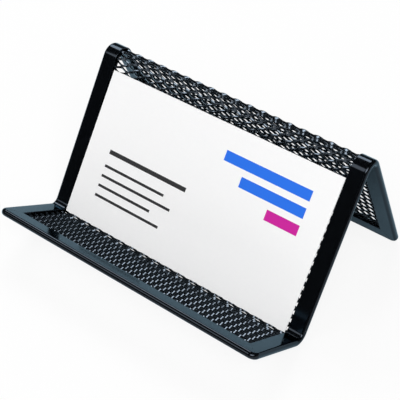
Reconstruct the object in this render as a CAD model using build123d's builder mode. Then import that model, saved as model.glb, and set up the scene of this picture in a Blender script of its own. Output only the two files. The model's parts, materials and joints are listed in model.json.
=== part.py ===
from build123d import *
from math import asin, atan2, cos, degrees, floor, hypot, radians, sin, sqrt, tan
import os

os.makedirs("parts", exist_ok=True)

# Card: one standard card, which sets the width between the side flanges
card_width = 90.0
card_height = 50.0
card_thickness = 0.35
card_play = 0.5  # between the card and each side flange when the card is centred
card_shift = 0.3  # how far right of centre the card stands
card_foot_reach = 0.55  # back of the card's foot in front of the upright's flange face
card_gap = 0.1  # between the card's head and the mesh that it leans on
card_foot_gap = 0.1  # between the card's foot and the curved mesh below it

# Stand: a flat framed panel bent twice, into a tray, an upright and a rear leg
tray_length = 26.8  # heel corner to the outer face of the front wall
back_rise = 11.4  # height of the ridge corner over the card's height
leg_length = 55.5  # ridge corner to the outer face of the rear wall
heel_angle = 92.2  # between tray and upright
ridge_angle = 56.25  # between upright and rear leg
heel_radius = 2.0  # inside radius of the flange between tray and upright
ridge_radius = 4.3  # outside radius of the flange over the ridge
corner_radius = 2.5  # plan radius of the frame's four corners

# Frame strip: a channel folded from sheet steel and closed over the edge of the mesh
strip_thickness = 0.6
flange_width = 5.5
fold_inner_radius = 0.4  # inside radius of both folds

# Mesh: expanded steel between the two flanges, drawn with a coarser pitch than the real sheet
mesh_thickness = 0.9
mesh_gap = 0.05  # paint film between mesh and each flange
mesh_edge_gap = 0.8  # mesh edge to the inner face of the wall
mesh_strand = 0.95
mesh_pitch_long = 7.2
mesh_pitch_short = 4.3
cut_overrun = 1.0  # how far a cut runs past the sheet

# Sizes that follow
stand_width = card_width + 2 * (card_play + flange_width)
back_height = card_height + back_rise
heel_setback = heel_radius / tan(radians(heel_angle / 2))
ridge_setback = ridge_radius / tan(radians(ridge_angle / 2))
fold_radius = fold_inner_radius + strip_thickness
mesh_depth = strip_thickness + mesh_gap
wall_depth = mesh_thickness + 2 * mesh_depth
mesh_border = strip_thickness + mesh_edge_gap
mesh_width = stand_width - 2 * mesh_border
mesh_columns = floor(mesh_width / mesh_pitch_long)
end_run = 2 * flange_width  # length of the frame ends that carry the rounded corners


def heading(angle):
    """Unit vector in the side view, whose first axis is square to the upright and second runs up it."""
    return Vector(cos(radians(angle)), sin(radians(angle)))


# Side view in the upright's own directions, with the heel corner as its origin
heel_corner = Vector(0, 0)
ridge_corner = Vector(0, back_height)
tray_run = heading(90 + heel_angle)
back_run = heading(90)
leg_run = heading(ridge_angle - 90)
tray_under = heading(180 + heel_angle)
back_under = heading(0)
leg_under = heading(ridge_angle - 180)
heel_centre = heading(90 + heel_angle / 2) * (heel_radius / sin(radians(heel_angle / 2)))
ridge_centre = ridge_corner + heading(ridge_angle / 2 - 90) * (ridge_radius / sin(radians(ridge_angle / 2)))

# Rest: the side strips touch the table at the heel, and the rear strip with its inner fold
heel_under_radius = heel_radius + wall_depth
foot_fold = ridge_corner + leg_run * (leg_length - fold_radius) + leg_under * (wall_depth - fold_radius)
foot_reach = foot_fold - heel_centre
lean = degrees(
    atan2(foot_reach.Y, foot_reach.X) + asin((heel_under_radius - fold_radius) / foot_reach.length)
)
table_run = heading(lean)
table_up = heading(lean + 90)
front_fold = tray_run * (tray_length - fold_radius) + tray_under * (wall_depth - fold_radius)
rear_fold = ridge_corner + leg_run * (leg_length - fold_radius) + leg_under * fold_radius
front_limit = front_fold.dot(table_run) - fold_radius
rear_limit = rear_fold.dot(table_run) + fold_radius
table_level = heel_centre.dot(table_up) - heel_under_radius
side_view = Plane(
    origin=(0, -(front_limit + rear_limit) / 2, -table_level),
    x_dir=(0, cos(radians(lean)), -sin(radians(lean))),
    z_dir=(1, 0, 0),
)


def placed(point):
    """Side-view point as a point of the standing object."""
    return side_view.from_local_coords(point)


def turned(direction):
    """Side-view direction as a direction of the standing object."""
    return placed(direction) - side_view.origin


def flange_face(corner, run, under):
    """Plane on a flange face, with its Y along the run and its Z through the sheet."""
    return Plane(origin=placed(corner), x_dir=turned(run).cross(turned(under)), z_dir=turned(under))


tray_face = flange_face(heel_corner, tray_run, tray_under)
back_face = flange_face(heel_corner, back_run, back_under)
leg_face = flange_face(ridge_corner, leg_run, leg_under)


def frame_end(face, length):
    """One flat end of the frame, with its two rounded corners and stubs of both side strips."""
    with BuildPart() as end:
        with BuildSketch(face) as outline:
            with Locations((0, length - end_run)):
                Rectangle(stand_width, end_run, align=(Align.CENTER, Align.MIN))
            fillet(outline.vertices().group_by(Axis.Y)[-1], corner_radius)
        extrude(amount=wall_depth)
        along = Axis(face.origin, face.y_dir)
        levels = end.edges().group_by(Axis(face.origin, face.z_dir))
        fillet(levels[0].sort_by(along)[1:] + levels[-1].sort_by(along)[1:], fold_radius)
        offset(amount=-strip_thickness, openings=end.faces().sort_by(along)[0])
        with BuildSketch(face):
            with Locations((0, length - end_run)):
                Rectangle(
                    stand_width - 2 * flange_width,
                    end_run - flange_width,
                    align=(Align.CENTER, Align.MIN),
                )
        extrude(amount=wall_depth, mode=Mode.SUBTRACT)
    return end.part


front_corners = frame_end(tray_face, tray_length)
rear_corners = frame_end(leg_face, leg_length)

# Frame before it is parted at the mitres: both bent sides with the two ends
with BuildPart() as frame_blank:
    with BuildLine(side_view) as side_bends:
        FilletPolyline(
            placed(tray_run * (tray_length - end_run)),
            placed(heel_corner),
            placed(ridge_corner),
            placed(ridge_corner + leg_run * (leg_length - end_run)),
            radius=[heel_radius, ridge_radius],
        )
    side_line = side_bends.wire()
    with BuildSketch(Plane(origin=side_line @ 0, x_dir=(1, 0, 0), z_dir=side_line % 0)) as channel_section:
        with Locations((stand_width / 2, 0)):
            outside = Rectangle(flange_width, wall_depth, align=(Align.MAX, Align.MIN))
        fillet(outside.vertices().group_by(Axis.X)[-1], fold_radius)
        wall_face = stand_width / 2 - strip_thickness
        with Locations((wall_face, strip_thickness)):
            Rectangle(
                flange_width - strip_thickness,
                wall_depth - 2 * strip_thickness,
                align=(Align.MAX, Align.MIN),
                mode=Mode.SUBTRACT,
            )
        for level in (strip_thickness, wall_depth - strip_thickness):
            inner_fold = channel_section.vertices().sort_by_distance((wall_face, level))[0]
            fillet(inner_fold, fold_inner_radius)
        mirror(about=Plane.YZ)
    sweep(sections=channel_section.sketch, path=side_line)
    add(front_corners)
    add(rear_corners)


def mitre(face, length, side):
    """Plane through a frame corner at 45 degrees, whose positive side holds the end strip."""
    across = face.x_dir * (side * face.x_dir.X)
    corner = face.origin + across * (stand_width / 2) + face.y_dir * length
    return Plane(origin=corner, x_dir=face.z_dir, z_dir=face.y_dir - across)


front_mitres = {side: mitre(tray_face, tray_length, side) for side in (-1, 1)}
rear_mitres = {side: mitre(leg_face, leg_length, side) for side in (-1, 1)}

with BuildPart() as front_strip:
    add(frame_blank.part)
    split(bisect_by=back_face, keep=Keep.BOTTOM)
    split(bisect_by=front_mitres[-1], keep=Keep.TOP)
    split(bisect_by=front_mitres[1], keep=Keep.TOP)

with BuildPart() as rear_strip:
    add(frame_blank.part)
    split(bisect_by=back_face, keep=Keep.TOP)
    split(bisect_by=rear_mitres[-1], keep=Keep.TOP)
    split(bisect_by=rear_mitres[1], keep=Keep.TOP)

with BuildPart() as left_side_strip:
    add(frame_blank.part)
    split(bisect_by=Plane.YZ, keep=Keep.BOTTOM)
    split(bisect_by=front_mitres[-1], keep=Keep.BOTTOM)
    split(bisect_by=rear_mitres[-1], keep=Keep.BOTTOM)

with BuildPart() as right_side_strip:
    add(frame_blank.part)
    split(bisect_by=Plane.YZ, keep=Keep.TOP)
    split(bisect_by=front_mitres[1], keep=Keep.BOTTOM)
    split(bisect_by=rear_mitres[1], keep=Keep.BOTTOM)


def gap_outline(half_long, half_short, mode):
    """One diamond gap, drawn in from its cell by half a strand on each side."""
    inset = 1 - mesh_strand * hypot(half_long, half_short) / (2 * half_long * half_short)
    long_end = half_long * inset
    short_end = half_short * inset
    Polygon((-long_end, 0), (0, -short_end), (long_end, 0), (0, short_end), mode=mode)


def mesh_sheet(start, length):
    """Flat run of expanded metal, with staggered rows of gaps that fill its length."""
    rows = round(length / mesh_pitch_short)
    row_pitch = length / rows
    with Locations((0, start)):
        Rectangle(mesh_width, length, align=(Align.CENTER, Align.MIN))
    with Locations((0, start + length / 2)):
        with GridLocations(mesh_pitch_long, row_pitch, mesh_columns, rows):
            gap_outline(mesh_pitch_long / 2, row_pitch / 2, Mode.SUBTRACT)
        with GridLocations(mesh_pitch_long, row_pitch, mesh_columns - 1, rows - 1):
            gap_outline(mesh_pitch_long / 2, row_pitch / 2, Mode.SUBTRACT)


with BuildPart() as tray_mesh:
    with BuildSketch(tray_face.offset(mesh_depth)):
        mesh_sheet(heel_setback, tray_length - heel_setback - mesh_border)
    extrude(amount=mesh_thickness)

with BuildPart() as back_mesh:
    with BuildSketch(back_face.offset(mesh_depth)):
        mesh_sheet(heel_setback, back_height - heel_setback - ridge_setback)
    extrude(amount=mesh_thickness)

with BuildPart() as leg_mesh:
    with BuildSketch(leg_face.offset(mesh_depth)):
        mesh_sheet(ridge_setback, leg_length - ridge_setback - mesh_border)
    extrude(amount=mesh_thickness)


def bend_band(centre, inner_radius, outer_radius, first_angle, turn):
    """Side view of the mesh where it is bent, between two radii."""
    with BuildLine() as band:
        inner = CenterArc(centre, inner_radius, first_angle, turn)
        outer = CenterArc(centre, outer_radius, first_angle, turn)
        Line(inner @ 0, outer @ 0)
        Line(inner @ 1, outer @ 1)
    make_face(band.edges())


def bend_gaps(mean_radius, turn):
    """One row of gaps across a bend, staggered against the flat runs beside it."""
    half_short = mean_radius * sin(radians(turn / 2))
    with GridLocations(mesh_pitch_long, mesh_pitch_short, mesh_columns - 1, 1):
        gap_outline(mesh_pitch_long / 2, half_short, Mode.ADD)


heel_turn = 180 - heel_angle
heel_inner_radius = heel_radius + mesh_depth
heel_outer_radius = heel_inner_radius + mesh_thickness
heel_out = heading(heel_angle / 2 - 90)

with BuildPart() as heel_mesh:
    with BuildSketch(side_view):
        bend_band(heel_centre, heel_inner_radius, heel_outer_radius, heel_angle - 180, heel_turn)
    extrude(amount=mesh_width / 2, both=True)
    with BuildSketch(Plane(origin=placed(heel_centre), x_dir=(1, 0, 0), z_dir=turned(heel_out))):
        bend_gaps(heel_inner_radius + mesh_thickness / 2, heel_turn)
    extrude(amount=heel_outer_radius + cut_overrun, mode=Mode.SUBTRACT)

ridge_turn = 180 - ridge_angle
ridge_outer_radius = ridge_radius - mesh_depth
ridge_inner_radius = ridge_outer_radius - mesh_thickness
ridge_out = heading(ridge_angle / 2 + 90)

with BuildPart() as ridge_mesh:
    with BuildSketch(side_view):
        bend_band(ridge_centre, ridge_inner_radius, ridge_outer_radius, ridge_angle, ridge_turn)
    extrude(amount=mesh_width / 2, both=True)
    with BuildSketch(Plane(origin=placed(ridge_centre), x_dir=(1, 0, 0), z_dir=turned(ridge_out))):
        bend_gaps(ridge_inner_radius + mesh_thickness / 2, ridge_turn)
    extrude(amount=ridge_outer_radius + cut_overrun, mode=Mode.SUBTRACT)

# Card: foot in the heel of the mesh, head against the mesh of the upright
card_tilt = asin((card_foot_reach + mesh_depth - card_gap) / card_height)
foot_offset = -card_foot_reach - heel_centre.X
foot_level = heel_centre.Y - sqrt(heel_inner_radius**2 - foot_offset**2) + card_foot_gap
card_foot = Vector(-card_foot_reach, foot_level)
card_up = turned(heading(90 - degrees(card_tilt)))
card_back = Plane(
    origin=placed(card_foot) + Vector(card_shift, 0, 0),
    x_dir=(1, 0, 0),
    z_dir=Vector(1, 0, 0).cross(card_up),
)

with BuildPart() as business_card:
    with BuildSketch(card_back):
        Rectangle(card_width, card_height, align=(Align.CENTER, Align.MIN))
    extrude(amount=card_thickness)

pieces = {
    "left_side_strip": left_side_strip,
    "right_side_strip": right_side_strip,
    "front_strip": front_strip,
    "rear_strip": rear_strip,
    "tray_mesh": tray_mesh,
    "heel_mesh": heel_mesh,
    "back_mesh": back_mesh,
    "ridge_mesh": ridge_mesh,
    "leg_mesh": leg_mesh,
    "business_card": business_card,
}
for name, piece in pieces.items():
    piece.part.label = name
    export_step(piece.part, f"parts/{name}.step")
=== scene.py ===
import json
from math import cos, pi, radians, sin, tan

import bmesh
import bpy
from mathutils import Matrix, Vector


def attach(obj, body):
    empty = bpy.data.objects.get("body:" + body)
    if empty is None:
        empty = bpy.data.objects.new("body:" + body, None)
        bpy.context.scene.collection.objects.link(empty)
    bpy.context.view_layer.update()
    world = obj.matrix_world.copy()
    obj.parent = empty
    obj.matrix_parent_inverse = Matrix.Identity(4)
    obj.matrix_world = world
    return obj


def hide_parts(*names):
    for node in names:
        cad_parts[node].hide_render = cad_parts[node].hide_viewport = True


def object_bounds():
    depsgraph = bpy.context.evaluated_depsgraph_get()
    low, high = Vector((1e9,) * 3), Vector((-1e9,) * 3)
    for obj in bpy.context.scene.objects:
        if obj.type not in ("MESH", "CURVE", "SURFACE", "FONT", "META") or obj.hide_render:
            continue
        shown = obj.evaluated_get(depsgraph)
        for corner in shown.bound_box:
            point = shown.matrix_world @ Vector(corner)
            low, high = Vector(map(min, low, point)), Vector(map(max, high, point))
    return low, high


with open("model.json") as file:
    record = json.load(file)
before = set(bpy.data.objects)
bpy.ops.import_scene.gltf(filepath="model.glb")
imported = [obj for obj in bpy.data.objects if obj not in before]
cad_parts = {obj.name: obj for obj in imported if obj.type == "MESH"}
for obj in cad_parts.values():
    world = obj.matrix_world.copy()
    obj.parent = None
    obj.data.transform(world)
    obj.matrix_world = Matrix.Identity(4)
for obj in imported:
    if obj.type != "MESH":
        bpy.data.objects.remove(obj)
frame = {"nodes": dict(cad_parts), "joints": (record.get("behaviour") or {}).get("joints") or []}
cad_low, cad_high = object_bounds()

bl_info = {
    "name": "Mesh Card Stand",
    "version": (1, 0, 0),
    "blender": (4, 5, 0),
    "location": "View3D > Sidebar > Card Stand",
    "description": "Dresses a bent mesh card stand: folded frame strips, expanded mesh, card and stage",
    "category": "Object",
}

MM = 0.001
STAND = "stand"
CARD = "card"
MESH_NODES = ("tray_mesh", "heel_mesh", "back_mesh", "ridge_mesh", "leg_mesh")
upright_axis = Vector(frame["joints"][0]["axis"])

# How finely the rounded forms are divided
FOLD_STEPS = 6
EDGE_STEPS = 3
BEND_STEPS = 20
ROUNDING_STEPS = 2
ROUND_PROFILE = 0.5
CORNER_SHARES = (0, 0.05, 0.2, 0.4, 0.6, 0.8, 0.95, 1)
WELD = 0.0001 * MM
FLOOR_SEGMENTS = 96
ROOM_SEGMENTS = 48
ROOM_RINGS = 24

# Noise in the materials
PEEL_DETAIL = 2.0
PEEL_STRENGTH = 0.5
DRIFT_DETAIL = 3.0
DRIFT_PER_PEEL = 14
FIBRE_DETAIL = 4.0
FIBRE_STRENGTH = 0.2

# Least roughness of the enamel and its further spread, as shares of the middle one
LEAST_SHARE = 0.8
SPREAD_SHARE = 0.4
STOCK_SPREAD = 0.12

# Printed bars as left, right, low and high, in millimetres from the card's lower left corner
DARK_BARS = (
    (9, 41, 24.2, 25.7),
    (9, 34, 19.6, 20.5),
    (9, 38, 16.2, 17.1),
    (9, 31, 12.8, 13.7),
    (9, 36, 9.4, 10.3),
)
BLUE_BARS = ((50, 82, 39.0, 42.4), (58, 82, 33.4, 36.8))
MAGENTA_BARS = ((70, 82, 27.8, 31.2),)
UNPRINTED = (-1, -1)
CARD_RIM = 0.04 * MM

WHITE = (1.0, 1.0, 1.0, 1.0)
FLOOR_DROP = 0.02 * MM
SENSOR_WIDTH = 36.0
CLIP_START = 10 * MM


def length(name, description, default):
    """A size that a user would change, in metres."""
    return bpy.props.FloatProperty(
        name=name, description=description, default=default, unit="LENGTH", subtype="DISTANCE", precision=5
    )


def lengths(name, description, default):
    """A place, or the two sides of a lamp, that a user would change, in metres."""
    return bpy.props.FloatVectorProperty(
        name=name, description=description, default=default, size=len(default), unit="LENGTH", precision=5
    )


def angle(name, description, degrees):
    """An angle that a user would change, written in degrees."""
    return bpy.props.FloatProperty(
        name=name, description=description, default=radians(degrees), unit="ROTATION", subtype="ANGLE"
    )


def colour(name, description, default):
    """A linear colour that a user would change."""
    return bpy.props.FloatVectorProperty(
        name=name, description=description, default=default, size=3, min=0, max=1, subtype="COLOR"
    )


def number(name, description, default):
    """A plain number that a user would change."""
    return bpy.props.FloatProperty(name=name, description=description, default=default)


class StandSizes(bpy.types.PropertyGroup):
    """The bent panel and its folded frame, as the solids have them."""

    width: length("Width", "Stand from side to side", cad_high.x - cad_low.x)
    tray_length: length("Tray", "Heel corner to the front wall's outer face", 26.8 * MM)
    back_height: length("Upright", "Heel corner to ridge corner", 61.4 * MM)
    leg_length: length("Rear leg", "Ridge corner to the rear wall's outer face", 55.5 * MM)
    heel_angle: angle("Heel angle", "Between tray and upright", 92.2)
    ridge_angle: angle("Ridge angle", "Between upright and rear leg", 56.25)
    heel_radius: length("Heel radius", "Inside radius of the flange at the heel", 2.0 * MM)
    ridge_radius: length("Ridge radius", "Outside radius of the flange over the ridge", 4.3 * MM)
    corner_radius: length("Corner radius", "Plan radius of the frame's corners", 2.5 * MM)
    strip_thickness: length("Strip thickness", "Sheet that the strips are folded from", 0.6 * MM)
    flange_width: length("Flange", "Width of both flanges of a strip", 5.5 * MM)
    wall_depth: length("Wall", "Outer face of one flange to that of the other", 2.2 * MM)
    fold_radius: length("Fold radius", "Outside radius of both folds", 1.0 * MM)
    edge_radius: length("Edge radius", "Paint-rounded free edges of the strip", 0.14 * MM)
    seam_depth: length("Seam depth", "Groove left where two strips are mitred", 0.06 * MM)


class MeshSizes(bpy.types.PropertyGroup):
    """The expanded steel sheet between the flanges."""

    pitch_long: length("Long pitch", "Bond to bond across the stand", 5.04 * MM)
    pitch_short: length("Short pitch", "Bond to bond along the bent panel", 2.686 * MM)
    strand_width: length("Strand width", "Slit to slit before stretching", 0.74 * MM)
    strand_thickness: length("Strand thickness", "Sheet with its paint", 0.5 * MM)
    strand_tilt: angle("Strand tilt", "Strands against the sheet, rising towards the rear leg", -31)
    strand_twist: angle("Strand twist", "Further tilt of a strand half way between its bonds", -22)
    bond_length: length("Bond length", "Flat length of each bond", 0.42 * MM)
    depth: length("Depth", "Middle of the sheet under the flange face", 1.1 * MM)
    edge_radius: length("Edge radius", "Paint-rounded edges of the strands", 0.08 * MM)
    border: length("Border", "Sheet edge to the wall's outer face", 2.9 * MM)


class Finishes(bpy.types.PropertyGroup):
    """Colours and gloss of paint, card stock and print."""

    paint: colour("Paint", "Black enamel", (0.020, 0.023, 0.028))
    paint_lift: colour("Paint lift", "Where the enamel lies a little thinner", (0.026, 0.031, 0.038))
    mesh_paint: colour("Mesh paint", "Black enamel on the mesh", (0.060, 0.072, 0.087))
    mesh_lift: colour("Mesh paint lift", "Where the mesh enamel lies a little thinner", (0.072, 0.086, 0.103))
    paint_roughness: number("Paint roughness", "Middle roughness of the enamel", 0.12)
    mesh_roughness: number("Mesh roughness", "Middle roughness on the mesh", 0.15)
    gloss_tint: colour("Gloss tint", "Tint of the enamel's reflections at a low angle", (0.70, 0.87, 0.98))
    peel_size: length("Peel size", "Width of the ripples in the enamel", 1.6 * MM)
    peel_height: length("Peel height", "Height of the ripples on the strips", 0.004 * MM)
    mesh_peel_height: length("Mesh peel height", "Height of the ripples on the mesh", 0.01 * MM)
    stock: colour("Card stock", "Smooth white card", (0.95, 0.95, 0.95))
    stock_shade: colour("Card fibre", "Faint fibre in the card", (0.92, 0.92, 0.925))
    stock_roughness: number("Card roughness", "Least roughness of the card", 0.5)
    fibre_size: length("Fibre size", "Width of the card's fibre", 0.9 * MM)
    fibre_height: length("Fibre height", "Height of the card's fibre", 0.01 * MM)
    ink_dark: colour("Dark ink", "Plain bars", (0.018, 0.018, 0.020))
    ink_blue: colour("Blue ink", "Long bars", (0.004, 0.155, 0.82))
    ink_magenta: colour("Magenta ink", "Short bar", (0.60, 0.0, 0.32))


class StageSettings(bpy.types.PropertyGroup):
    """Camera, lamps, floor and the dark cloth round them."""

    azimuth: angle("Azimuth", "Camera to the right of the front", 40.489)
    elevation: angle("Elevation", "Camera above the table", 41.976)
    roll: angle("Roll", "Camera about its own axis", -2.508)
    distance: length("Distance", "Camera to its aim", 364.51 * MM)
    aim: lengths("Aim", "Point that the camera looks at", (1.731 * MM, -1.647 * MM, 20.633 * MM))
    lens: number("Lens", "Focal length in mm on a 36 mm sensor", 105.003)
    ambient: number("Ambient", "Soft light from all round", 0.25)
    key_power: number("Key", "Soft box at the front left, in watts", 4.4)
    key_size: lengths("Key size", "Sides of the soft box at the front left", (0.73, 0.73))
    key_place: lengths("Key place", "Middle of the soft box at the front left", (-0.82, -1.10, 1.25))
    back_power: number("Back", "Soft box at the rear left, in watts", 5.0)
    back_size: lengths("Back size", "Sides of the soft box at the rear left", (0.66, 0.36))
    back_place: lengths("Back place", "Middle of the soft box at the rear left", (-0.54, 0.61, 0.78))
    fill_power: number("Fill", "Large soft box on the right, in watts", 34.0)
    fill_size: lengths("Fill size", "Sides of the large soft box", (1.65, 1.1))
    fill_place: lengths("Fill place", "Middle of the large soft box", (1.1, -1.1, 1.47))
    lamp_aim: lengths("Lamp aim", "Point that all soft boxes face", (0, 0, 20 * MM))
    floor: colour("Floor", "Pale floor", (0.92, 0.92, 0.92))
    floor_radius: length("Floor radius", "Middle of the stand to the floor's edge", 3.0)
    shadow_share: number("Shadow share", "How much of the floor's own shading the camera sees", 0.15)
    cloth: colour("Cloth", "Dark cloth round the table", (0.19, 0.20, 0.21))
    room_radius: length("Room radius", "Middle of the stand to the dark cloth", 2.9)


class Value:
    """A shader socket that adds Math nodes when it is used in an expression."""

    def __init__(self, shader, socket):
        self.shader = shader
        self.socket = socket

    def math(self, operation, other):
        return self.shader.node("ShaderNodeMath", {"operation": operation}, {0: self, 1: other})

    def __add__(self, other):
        return self.math("ADD", other)

    def __mul__(self, other):
        return self.math("MULTIPLY", other)

    def __gt__(self, other):
        return self.math("GREATER_THAN", other)

    def __lt__(self, other):
        return self.math("LESS_THAN", other)

    def either(self, other):
        return self.math("MAXIMUM", other)


class Shader:
    """A node tree that is written as expressions."""

    def __init__(self, owner):
        owner.use_nodes = True
        self.owner = owner
        self.tree = owner.node_tree
        self.tree.nodes.clear()

    def node(self, kind, settings=None, inputs=None, output=0):
        made = self.tree.nodes.new(kind)
        for key, value in (settings or {}).items():
            setattr(made, key, value)
        for key, value in (inputs or {}).items():
            if isinstance(value, Value):
                self.tree.links.new(value.socket, made.inputs[key])
            else:
                made.inputs[key].default_value = value
        return Value(self, made.outputs[output])

    def mixed(self, share, first, second):
        return self.node("ShaderNodeMix", {"data_type": "RGBA"}, {0: share, 6: first, 7: second}, output=2)

    def noise(self, size, detail):
        place = self.node("ShaderNodeTexCoord", output=3)
        return self.node("ShaderNodeTexNoise", None, {"Vector": place, "Scale": 1 / size, "Detail": detail})

    def bump(self, height, distance, strength):
        inputs = {"Strength": strength, "Distance": distance, "Height": height}
        return self.node("ShaderNodeBump", None, inputs)

    def ray(self, kind):
        """One for rays of a kind, nought for all others."""
        return self.node("ShaderNodeLightPath", output=f"Is {kind} Ray")

    def surface(self, value, kind="ShaderNodeOutputMaterial"):
        out = self.tree.nodes.new(kind)
        self.tree.links.new(value.socket, out.inputs["Surface"])
        return self.owner


def opaque(rgb):
    """A colour with full alpha, as a node takes it."""
    return (*rgb, 1.0)


def enamel(name, finishes, tones, roughness, peel_height):
    """Glossy black stove enamel, a little uneven in gloss, with a faint orange peel."""
    shader = Shader(bpy.data.materials.new(name))
    full, thin = tones
    peel = shader.noise(finishes.peel_size, PEEL_DETAIL)
    drift = shader.noise(DRIFT_PER_PEEL * finishes.peel_size, DRIFT_DETAIL)
    skin = shader.node(
        "ShaderNodeBsdfPrincipled",
        None,
        {
            "Base Color": shader.mixed(drift, opaque(full), opaque(thin)),
            "Metallic": 1.0,
            "Roughness": drift * (roughness * SPREAD_SHARE) + roughness * LEAST_SHARE,
            "Specular Tint": opaque(finishes.gloss_tint),
            "Normal": shader.bump(peel, peel_height, PEEL_STRENGTH),
        },
    )
    return shader.surface(skin)


def printed_card(finishes, width, height):
    """White card stock with plain printed bars."""
    shader = Shader(bpy.data.materials.new("printed_card"))
    place = shader.node("ShaderNodeUVMap", {"uv_map": "face"})
    across = shader.node("ShaderNodeSeparateXYZ", None, {0: place}, output=0) * (width / MM)
    up = shader.node("ShaderNodeSeparateXYZ", None, {0: place}, output=1) * (height / MM)

    def bar(left, right, low, high):
        return (across > left) * (across < right) * (up > low) * (up < high)

    def bars(rows):
        mask = bar(*rows[0])
        for row in rows[1:]:
            mask = mask.either(bar(*row))
        return mask

    fibre = shader.noise(finishes.fibre_size, FIBRE_DETAIL)
    tone = shader.mixed(fibre, opaque(finishes.stock), opaque(finishes.stock_shade))
    tone = shader.mixed(bars(DARK_BARS), tone, opaque(finishes.ink_dark))
    tone = shader.mixed(bars(BLUE_BARS), tone, opaque(finishes.ink_blue))
    tone = shader.mixed(bars(MAGENTA_BARS), tone, opaque(finishes.ink_magenta))
    sheet = shader.node(
        "ShaderNodeBsdfPrincipled",
        None,
        {
            "Base Color": tone,
            "Roughness": fibre * STOCK_SPREAD + finishes.stock_roughness,
            "Normal": shader.bump(fibre, finishes.fibre_height, FIBRE_STRENGTH),
        },
    )
    return shader.surface(sheet)


class BentPanel:
    """Takes a point of the flat panel to its place on the bent stand.

    A flat point has x across, s along the panel from the front wall's outer face, and n down through the
    sheet from the flange face. The developed length is measured at the depth called neutral."""

    def __init__(self, sizes, neutral=0.0):
        self.sizes = sizes
        self.heel_turn = pi - sizes.heel_angle
        self.ridge_turn = pi - sizes.ridge_angle
        self.heel_setback = sizes.heel_radius / tan(sizes.heel_angle / 2)
        self.ridge_setback = sizes.ridge_radius / tan(sizes.ridge_angle / 2)
        self.heel_arc = (sizes.heel_radius + neutral) * self.heel_turn
        self.ridge_arc = (sizes.ridge_radius - neutral) * self.ridge_turn
        self.heel_start = sizes.tray_length - self.heel_setback
        self.back_start = self.heel_start + self.heel_arc
        self.ridge_start = self.back_start + sizes.back_height - self.heel_setback - self.ridge_setback
        self.leg_start = self.ridge_start + self.ridge_arc
        self.end = self.leg_start + sizes.leg_length - self.ridge_setback
        self.heel_centre = self.heading(pi / 2 + sizes.heel_angle / 2) * (
            sizes.heel_radius / sin(sizes.heel_angle / 2)
        )
        self.ridge_corner = Vector((0, sizes.back_height))
        self.ridge_centre = self.ridge_corner + self.heading(sizes.ridge_angle / 2 - pi / 2) * (
            sizes.ridge_radius / sin(sizes.ridge_angle / 2)
        )
        self.back_axis = upright_axis
        self.out_axis = Vector((0, upright_axis.z, -upright_axis.y))
        self.origin = Vector((0, 0, 0))
        fold = sizes.fold_radius
        front_fold = self.placed(0, self.side(fold, sizes.wall_depth - fold))
        heel = self.placed(0, self.heel_centre)
        lift = sizes.heel_radius + sizes.wall_depth - heel.z
        self.origin = Vector((0, cad_low.y + fold - front_fold.y, lift))

    @staticmethod
    def heading(turn):
        return Vector((cos(turn), sin(turn)))

    def side(self, s, n):
        """Side-view point: first square to the upright, then up it, from the heel corner."""
        sizes = self.sizes
        if s <= self.heel_start:
            run, under = self.heading(pi / 2 + sizes.heel_angle), self.heading(pi + sizes.heel_angle)
            return run * (sizes.tray_length - s) + under * n
        if s < self.back_start:
            share = (s - self.heel_start) / self.heel_arc
            spoke = self.heading(sizes.heel_angle - pi + share * self.heel_turn)
            return self.heel_centre + spoke * (sizes.heel_radius + n)
        if s <= self.ridge_start:
            return Vector((n, self.heel_setback + s - self.back_start))
        if s < self.leg_start:
            share = (s - self.ridge_start) / self.ridge_arc
            spoke = self.heading(pi - share * self.ridge_turn)
            return self.ridge_centre + spoke * (sizes.ridge_radius - n)
        run, under = self.heading(sizes.ridge_angle - pi / 2), self.heading(sizes.ridge_angle - pi)
        return self.ridge_corner + run * (self.ridge_setback + s - self.leg_start) + under * n

    def placed(self, x, side):
        return self.origin + Vector((x, 0, 0)) + self.out_axis * side.x + self.back_axis * side.y

    def point(self, x, s, n):
        return self.placed(x, self.side(s, n))


def object_from(name, made, material):
    """Turns a bmesh into an object of one material."""
    data = bpy.data.meshes.new(name)
    made.to_mesh(data)
    made.free()
    data.materials.append(material)
    shown = bpy.data.objects.new(name, data)
    bpy.context.scene.collection.objects.link(shown)
    return shown


def piece_from(name, made, material, nodes, body):
    """Turns a bmesh into a piece of the stand that rides on its body and stands for its solids."""
    bmesh.ops.recalc_face_normals(made, faces=made.faces)
    piece = object_from(name, made, material)
    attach(piece, body)
    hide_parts(*nodes)
    return piece


def clamped(value, low, high):
    return max(low, min(high, value))


def strip_section(sizes):
    """Channel section as (d, n): d inward from the wall's outer face, n down from the flange face."""
    edge, fold, sheet = sizes.edge_radius, sizes.fold_radius, sizes.strip_thickness
    lip, under = sizes.flange_width - edge, sizes.wall_depth
    points = []

    def arc(d, n, radius, start, turn, steps):
        for step in range(steps + 1):
            way = start + turn * step / steps
            points.append((d + radius * cos(way), n + radius * sin(way)))

    arc(lip, sheet - edge, edge, pi / 2, -pi / 2, EDGE_STEPS)
    arc(lip, edge, edge, 0, -pi / 2, EDGE_STEPS)
    arc(fold, fold, fold, -pi / 2, -pi / 2, FOLD_STEPS)
    arc(fold, under - fold, fold, pi, -pi / 2, FOLD_STEPS)
    arc(lip, under - edge, edge, pi / 2, -pi / 2, EDGE_STEPS)
    arc(lip, under - sheet + edge, edge, 0, -pi / 2, EDGE_STEPS)
    arc(fold, under - fold, fold - sheet, pi / 2, pi / 2, FOLD_STEPS)
    arc(fold, fold, fold - sheet, pi, pi / 2, FOLD_STEPS)
    return points


def corner_way(centre, radius, start, turn):
    """Stations round half a corner: outline point and outward direction."""
    for share in CORNER_SHARES:
        out = Vector((cos(start + turn * share), sin(start + turn * share)))
        yield centre + out * radius, out


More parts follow.
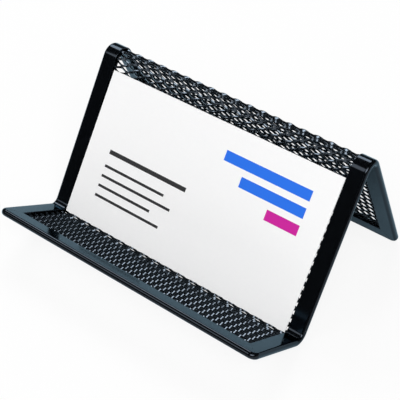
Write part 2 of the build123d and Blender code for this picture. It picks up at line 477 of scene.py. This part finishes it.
def side_stations(sizes, panel):
    """Outline of the right side strip from the front mitre to the rear one."""
    half, corner = sizes.width / 2, sizes.corner_radius
    steps = range(1, BEND_STEPS + 1)
    levels = [sizes.flange_width, panel.heel_start]
    levels += [panel.heel_start + panel.heel_arc * step / BEND_STEPS for step in steps]
    levels += [panel.ridge_start]
    levels += [panel.ridge_start + panel.ridge_arc * step / BEND_STEPS for step in steps]
    levels += [panel.end - sizes.flange_width]
    stations = list(corner_way(Vector((half - corner, corner)), corner, -pi / 4, pi / 4))
    stations += [(Vector((half, level)), Vector((1, 0))) for level in levels]
    stations += corner_way(Vector((half - corner, panel.end - corner)), corner, 0, pi / 4)
    return stations


def front_stations(sizes):
    """Outline of the front strip from the left mitre to the right one."""
    half, corner = sizes.width / 2, sizes.corner_radius
    inner = half - sizes.flange_width
    stations = list(corner_way(Vector((corner - half, corner)), corner, -3 * pi / 4, pi / 4))
    stations += [(Vector((x, 0)), Vector((0, -1))) for x in (-inner, inner)]
    stations += corner_way(Vector((half - corner, corner)), corner, -pi / 2, pi / 4)
    return stations


def build_strip(sizes, panel, stations, flip_x=False, flip_s=False):
    """Sweeps the channel section along an outline and bends it with the panel."""
    made = bmesh.new()
    section = strip_section(sizes)
    inner_x = sizes.width / 2 - sizes.flange_width
    inner_front, inner_rear = sizes.flange_width, panel.end - sizes.flange_width
    rings = []
    last = len(stations) - 1
    for index, (outer, out) in enumerate(stations):
        inner = Vector((clamped(outer.x, -inner_x, inner_x), clamped(outer.y, inner_front, inner_rear)))
        seam = sizes.seam_depth if index in (0, last) else 0.0
        ring = []
        for d, n in section:
            if d <= sizes.fold_radius:
                flat = outer - out * d
            else:
                flat = inner + (outer - inner).normalized() * (sizes.flange_width - d)
                n = clamped(n, seam, sizes.wall_depth - seam)
            x = -flat.x if flip_x else flat.x
            s = panel.end - flat.y if flip_s else flat.y
            ring.append(made.verts.new(panel.point(x, s, n)))
        rings.append(ring)
    for ring, after in zip(rings, rings[1:]):
        for corner in range(len(section)):
            beside = (corner + 1) % len(section)
            made.faces.new((ring[corner], ring[beside], after[beside], after[corner])).smooth = True
    made.faces.new(rings[0])
    made.faces.new(reversed(rings[-1]))
    bmesh.ops.remove_doubles(made, verts=made.verts, dist=WELD)
    return made


class CARDSTAND_OT_strips(bpy.types.Operator):
    """Add the four folded and mitred strips of the frame"""

    bl_idname = "card_stand.strips"
    bl_label = "Frame strips"

    def execute(self, context):
        sizes = context.scene.card_stand_sizes
        finishes = context.scene.card_stand_finishes
        panel = BentPanel(sizes)
        tones = finishes.paint, finishes.paint_lift
        paint = enamel("gloss_enamel", finishes, tones, finishes.paint_roughness, finishes.peel_height)
        sides, ends = side_stations(sizes, panel), front_stations(sizes)
        strips = {
            "right_side_strip": build_strip(sizes, panel, sides),
            "left_side_strip": build_strip(sizes, panel, sides, flip_x=True),
            "front_strip": build_strip(sizes, panel, ends),
            "rear_strip": build_strip(sizes, panel, ends, flip_s=True),
        }
        for node, made in strips.items():
            strip = piece_from(f"folded_{node}", made, paint, (node,), STAND)
            strip.modifiers.new("flat_faces", "WEIGHTED_NORMAL")
        return {"FINISHED"}


class ExpandedSheet:
    """One sheet of raised expanded steel: zigzag strands, each bonded to its neighbours at its tips.

    A strand is a row of rings, and a ring has four corners: the strand's low and high edge along the
    panel, each with its upper and its lower face."""

    LOW_UP, LOW_DOWN, HIGH_UP, HIGH_DOWN = range(4)

    def __init__(self, sizes, mesh_sizes):
        self.sizes = mesh_sizes
        self.panel = BentPanel(sizes, mesh_sizes.depth)
        self.row = mesh_sizes.pitch_short / 2
        self.stations = self.across(sizes.width)
        self.at_bond = self.half_axes(mesh_sizes.strand_tilt)
        self.between = self.half_axes(mesh_sizes.strand_tilt + mesh_sizes.strand_twist)
        self.bonded = {}
        self.made = bmesh.new()
        self.strands = int((self.panel.end - 2 * mesh_sizes.border) / self.row)
        for strand in range(self.strands):
            self.add_strand(strand)

    def across(self, width):
        """Tip number and x of each ring: both ends of every bond, and half way between without a number."""
        half_pitch = self.sizes.pitch_long / 2
        tips = int((width - 2 * self.sizes.border) / half_pitch)
        stations = []
        for tip in range(tips + 1):
            x = (tip - tips / 2) * half_pitch
            stations += [(tip, x + side * self.sizes.bond_length / 2) for side in (-1, 1)]
            if tip < tips:
                stations.append((None, x + half_pitch / 2))
        return stations

    def half_axes(self, tilt):
        """Half width and half thickness of a strand as (s, n) steps."""
        wide = Vector((cos(tilt), sin(tilt))) * (self.sizes.strand_width / 2)
        thick = Vector((-sin(tilt), cos(tilt))) * (self.sizes.strand_thickness / 2)
        return wide, thick

    @staticmethod
    def bond_turn(strand, tip):
        """The neighbour that a strand meets: 1 the next, -1 the one before, 0 none between its tips."""
        if tip is None:
            return 0
        return 1 if (tip + strand) % 2 == 0 else -1

    def ring(self, strand, middle, turn, x):
        """Four corners of a strand. Those on a bond are shared with the neighbour."""
        wide, thick = self.at_bond if turn else self.between
        centre = Vector((middle + turn * self.row / 2, self.sizes.depth)) - wide * turn
        corners = []
        for edge in (-1, 1):
            for face in (-1, 1):
                key = (strand + (edge == 1), round(x / MM, 4), face)
                vert = self.bonded.get(key) if edge == turn else None
                if vert is None:
                    place = centre + wide * edge + thick * face
                    vert = self.made.verts.new(self.panel.point(x, *place))
                if edge == turn:
                    self.bonded[key] = vert
                corners.append(vert)
        return corners

    def add_strand(self, strand):
        panel, faces = self.panel, self.made.faces
        middle = self.sizes.border + (strand + 0.5) * self.row
        in_heel = panel.heel_start - self.row < middle < panel.back_start
        in_ridge = panel.ridge_start < middle < panel.leg_start
        rings = []
        for tip, x in self.stations:
            turn = self.bond_turn(strand, tip)
            rings.append((tip, turn, self.ring(strand, middle, turn, x)))
        for (tip, turn, ring), (next_tip, _, after) in zip(rings, rings[1:]):
            bond = tip == next_tip
            sides = [(self.LOW_UP, self.HIGH_UP), (self.LOW_DOWN, self.HIGH_DOWN)]
            if not bond or turn == 1 or strand == 0:
                sides.append((self.LOW_UP, self.LOW_DOWN))
            if not bond or turn == -1 or strand == self.strands - 1:
                sides.append((self.HIGH_UP, self.HIGH_DOWN))
            for one, other in sides:
                face = faces.new((ring[one], ring[other], after[other], after[one]))
                face.smooth = in_heel or in_ridge or not bond
        for _, _, ring in (rings[0], rings[-1]):
            faces.new((ring[self.LOW_UP], ring[self.HIGH_UP], ring[self.HIGH_DOWN], ring[self.LOW_DOWN]))


class CARDSTAND_OT_sheet(bpy.types.Operator):
    """Add the expanded steel sheet, bent with the frame"""

    bl_idname = "card_stand.sheet"
    bl_label = "Expanded sheet"

    def execute(self, context):
        scene = context.scene
        finishes = scene.card_stand_finishes
        tones = finishes.mesh_paint, finishes.mesh_lift
        paint = enamel("mesh_enamel", finishes, tones, finishes.mesh_roughness, finishes.mesh_peel_height)
        made = ExpandedSheet(scene.card_stand_sizes, scene.card_stand_mesh).made
        sheet = piece_from("expanded_sheet", made, paint, MESH_NODES, STAND)
        rounding = sheet.modifiers.new("paint_rounding", "BEVEL")
        rounding.width = scene.card_stand_mesh.edge_radius
        rounding.segments = ROUNDING_STEPS
        rounding.limit_method = "ANGLE"
        rounding.harden_normals = True
        return {"FINISHED"}


def card_edges(node):
    """Lower left front corner of the card's solid, and its edges across, up and through."""
    corners = {tuple(round(c, 7) for c in vert.co) for vert in node.data.vertices}
    corners = [Vector(c) for c in sorted(corners, key=lambda c: (c[0], c[2]))]
    half = len(corners) // 2
    left, right = corners[:half], corners[half:]
    foot_front, foot_back = sorted(left[:2], key=lambda c: c.y)
    head_front = min(left[2:], key=lambda c: c.y)
    across = Vector((right[0].x - left[0].x, 0, 0))
    return foot_front, across, head_front - foot_front, foot_back - foot_front


class CARDSTAND_OT_card(bpy.types.Operator):
    """Add the business card that stands in the holder"""

    bl_idname = "card_stand.card"
    bl_label = "Card"

    def execute(self, context):
        foot, across, up, through = card_edges(frame["nodes"]["business_card"])
        made = bmesh.new()
        face_map = made.loops.layers.uv.new("face")
        bmesh.ops.create_cube(made, size=1.0)
        bmesh.ops.scale(made, vec=(across.length, up.length, through.length), verts=made.verts)
        bmesh.ops.bevel(
            made,
            geom=made.edges[:],
            offset=CARD_RIM,
            segments=ROUNDING_STEPS,
            affect="EDGES",
            profile=ROUND_PROFILE,
        )
        for face in made.faces:
            printed = face.normal.z > 0.5
            for loop in face.loops:
                spot = loop.vert.co
                place = (spot.x / across.length + 0.5, spot.y / up.length + 0.5)
                loop[face_map].uv = place if printed else UNPRINTED
        turn = Matrix((across.normalized(), up.normalized(), -through.normalized())).transposed().to_4x4()
        middle = foot + (across + up + through) / 2
        bmesh.ops.transform(made, matrix=Matrix.Translation(middle) @ turn, verts=made.verts)
        material = printed_card(context.scene.card_stand_finishes, across.length, up.length)
        piece_from("printed_business_card", made, material, ("business_card",), CARD)
        return {"FINISHED"}


def soft_studio(stage):
    """World that is white where it is looked at, and dimmer as soft light."""
    shader = Shader(bpy.data.worlds.new("soft_studio"))
    soft = shader.node("ShaderNodeBackground", None, {"Color": WHITE, "Strength": stage.ambient})
    plain = shader.node("ShaderNodeBackground", None, {"Color": WHITE, "Strength": 1.0})
    seen = shader.ray("Camera").either(shader.ray("Glossy")).either(shader.ray("Transmission"))
    mix = shader.node("ShaderNodeMixShader", None, {0: seen, 1: soft, 2: plain})
    return shader.surface(mix, "ShaderNodeOutputWorld")


def add_floor(stage):
    """Floor that the camera sees nearly white with a faint shadow. The gloss sees its own shading."""
    shader = Shader(bpy.data.materials.new("pale_floor"))
    matt = shader.node("ShaderNodeBsdfDiffuse", None, {"Color": opaque(stage.floor)})
    glow = shader.node("ShaderNodeEmission", None, {"Color": WHITE, "Strength": 1.0})
    share = shader.ray("Camera").either(shader.ray("Transmission")) * (1 - stage.shadow_share)
    mix = shader.node("ShaderNodeMixShader", None, {0: share, 1: matt, 2: glow})
    made = bmesh.new()
    bmesh.ops.create_circle(made, cap_ends=True, radius=stage.floor_radius, segments=FLOOR_SEGMENTS)
    floor = object_from("floor", made, shader.surface(mix))
    floor.location.z = -FLOOR_DROP


def add_dark_room(stage):
    """Dark cloth round the table, which only the gloss of the enamel shows."""
    shader = Shader(bpy.data.materials.new("dark_cloth"))
    cloth = shader.node("ShaderNodeBsdfDiffuse", None, {"Color": opaque(stage.cloth)})
    made = bmesh.new()
    bmesh.ops.create_uvsphere(
        made, u_segments=ROOM_SEGMENTS, v_segments=ROOM_RINGS, radius=stage.room_radius
    )
    below = [vert for vert in made.verts if vert.co.z < -MM]
    bmesh.ops.delete(made, geom=below, context="VERTS")
    room = object_from("dark_room", made, shader.surface(cloth))
    for kind in ("camera", "diffuse", "shadow", "transmission"):
        setattr(room, f"visible_{kind}", False)


def add_lamp(name, power, size, place, aim):
    """Rectangular soft box that faces its aim."""
    light = bpy.data.lights.new(name, "AREA")
    light.shape = "RECTANGLE"
    light.energy = power
    light.size, light.size_y = size
    box = bpy.data.objects.new(name, light)
    box.location = place
    box.rotation_euler = (Vector(aim) - Vector(place)).to_track_quat("-Z", "Y").to_euler()
    bpy.context.scene.collection.objects.link(box)


def add_camera(stage):
    """Camera of the photograph, from its angles, aim and distance."""
    forward = Vector((
        -sin(stage.azimuth) * cos(stage.elevation),
        cos(stage.azimuth) * cos(stage.elevation),
        -sin(stage.elevation),
    ))
    level = Vector((cos(stage.azimuth), sin(stage.azimuth), 0))
    upward = level.cross(forward)
    right = level * cos(stage.roll) + upward * sin(stage.roll)
    up = right.cross(forward)
    camera = bpy.data.cameras.new("camera")
    camera.lens = stage.lens
    camera.sensor_width = SENSOR_WIDTH
    camera.clip_start = CLIP_START
    view = bpy.data.objects.new("camera", camera)
    place = Vector(stage.aim) - forward * stage.distance
    view.matrix_world = Matrix.Translation(place) @ Matrix((right, up, -forward)).transposed().to_4x4()
    bpy.context.scene.collection.objects.link(view)
    return view


class CARDSTAND_OT_stage(bpy.types.Operator):
    """Add floor, soft light and the camera of the photograph"""

    bl_idname = "card_stand.stage"
    bl_label = "Stage"

    def execute(self, context):
        scene, stage = context.scene, context.scene.card_stand_stage
        scene.world = soft_studio(stage)
        add_floor(stage)
        add_dark_room(stage)
        add_lamp("key_box", stage.key_power, stage.key_size, stage.key_place, stage.lamp_aim)
        add_lamp("back_box", stage.back_power, stage.back_size, stage.back_place, stage.lamp_aim)
        add_lamp("side_fill", stage.fill_power, stage.fill_size, stage.fill_place, stage.lamp_aim)
        scene.camera = add_camera(stage)
        scene.view_settings.view_transform = "Standard"
        return {"FINISHED"}


class CARDSTAND_PT_panel(bpy.types.Panel):
    """Lists the pieces of the stand"""

    bl_idname = "CARDSTAND_PT_panel"
    bl_label = "Card Stand"
    bl_space_type = "VIEW_3D"
    bl_region_type = "UI"
    bl_category = "Card Stand"

    def draw(self, context):
        for operator in OPERATORS:
            self.layout.operator(operator.bl_idname)
        for group in GROUPS:
            settings = getattr(context.scene, group)
            for key in settings.bl_rna.properties.keys():
                if key not in {"rna_type", "name"}:
                    self.layout.prop(settings, key)


OPERATORS = (CARDSTAND_OT_strips, CARDSTAND_OT_sheet, CARDSTAND_OT_card, CARDSTAND_OT_stage)
GROUPS = {
    "card_stand_sizes": StandSizes,
    "card_stand_mesh": MeshSizes,
    "card_stand_finishes": Finishes,
    "card_stand_stage": StageSettings,
}


def register():
    for group in GROUPS.values():
        bpy.utils.register_class(group)
    for name, group in GROUPS.items():
        setattr(bpy.types.Scene, name, bpy.props.PointerProperty(type=group))
    for made in (*OPERATORS, CARDSTAND_PT_panel):
        bpy.utils.register_class(made)


def unregister():
    for made in reversed((*OPERATORS, CARDSTAND_PT_panel)):
        bpy.utils.unregister_class(made)
    for name in GROUPS:
        delattr(bpy.types.Scene, name)
    for group in reversed(GROUPS.values()):
        bpy.utils.unregister_class(group)


def main():
    register()
    bpy.ops.card_stand.strips()
    bpy.ops.card_stand.sheet()
    bpy.ops.card_stand.card()
    bpy.ops.card_stand.stage()


if __name__ == "__main__":
    main()
